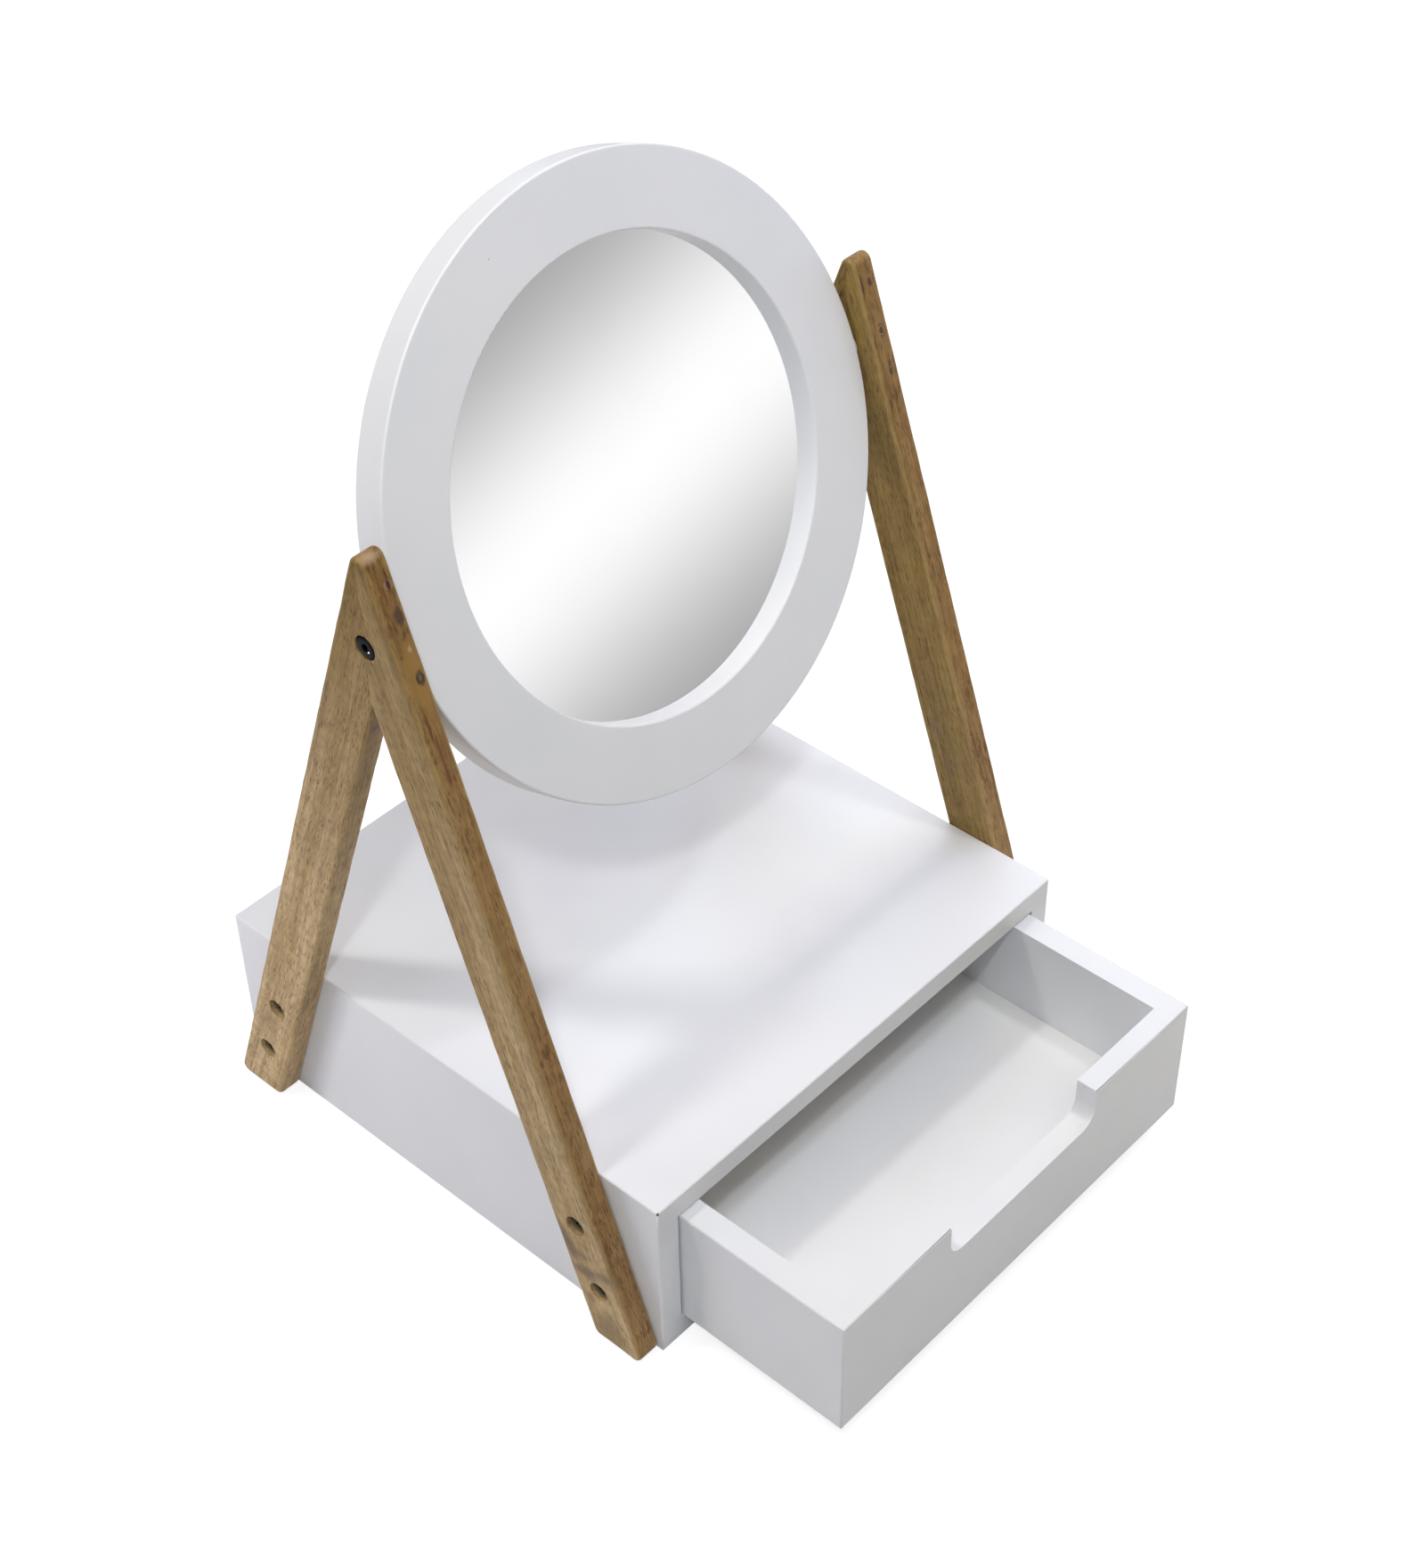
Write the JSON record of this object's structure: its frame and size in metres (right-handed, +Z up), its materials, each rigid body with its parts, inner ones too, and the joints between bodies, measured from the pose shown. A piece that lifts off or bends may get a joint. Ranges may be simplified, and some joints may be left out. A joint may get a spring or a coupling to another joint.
{
  "type": "vanity mirror",
  "caption": "Tabletop vanity mirror: a round tilting mirror hung between timber A-frames over a white box with a pull-out drawer.",
  "frame": {"origin": "middle of the box's underside, on the surface that the mirror stands on", "axes": "+Z up, -Y towards the person at the mirror, where the drawer opens, +X to that person's right"},
  "size_m": [0.327, 0.4, 0.5111],
  "materials": {
    "white_paint": "satin white paint over fibreboard and timber",
    "drawer_lining": "matt white face of a thin board",
    "leg_timber": "mid-brown hardwood with fine dark pores under thin clear lacquer",
    "dowel_timber": "dark end grain planed flush",
    "dark_screws": "dark phosphated steel",
    "nylon": "natural nylon",
    "black_bolts": "black oxide with an oily sheen",
    "brass_inserts": "plain turned brass",
    "silvered_glass": "polished float glass silvered on the back",
    "hardboard": "raw brown hardboard",
    "plated_steel": "zinc plated"
  },
  "bodies": {
    "frame": {"carcass_top": "white_paint", "carcass_bottom": "white_paint", "carcass_left_side": "white_paint", "carcass_right_side": "white_paint", "carcass_back": "white_paint", "left_front_leg": "leg_timber", "left_rear_leg": "leg_timber", "right_front_leg": "leg_timber", "right_rear_leg": "leg_timber", "left_leg_screws": "dark_screws", "right_leg_screws": "dark_screws", "left_mitre_dowels": "dowel_timber", "right_mitre_dowels": "dowel_timber", "left_pivot_washer": "nylon", "right_pivot_washer": "nylon"},
    "drawer": {"drawer_front": "white_paint", "drawer_left_side": "white_paint", "drawer_right_side": "white_paint", "drawer_back": "white_paint", "drawer_floor": "drawer_lining"},
    "mirror": {"mirror_frame": "white_paint", "mirror_glass": "silvered_glass", "mirror_backing": "hardboard", "backing_clips": "plated_steel", "clip_screws": "plated_steel", "left_pivot_bolt": "black_bolts", "right_pivot_bolt": "black_bolts", "left_pivot_insert": "brass_inserts", "right_pivot_insert": "brass_inserts"}
  },
  "joints": [
    {"name": "drawer_slide", "type": "slide", "parent": "frame", "child": "drawer", "axis": [0, -1, 0], "range_m": [-0.1, 0.115]},
    {"name": "mirror_tilt", "type": "hinge", "parent": "frame", "child": "mirror", "pos_m": [0, -0.00423, 0.368], "axis": [1, 0, 0], "continuous": true}
  ]
}
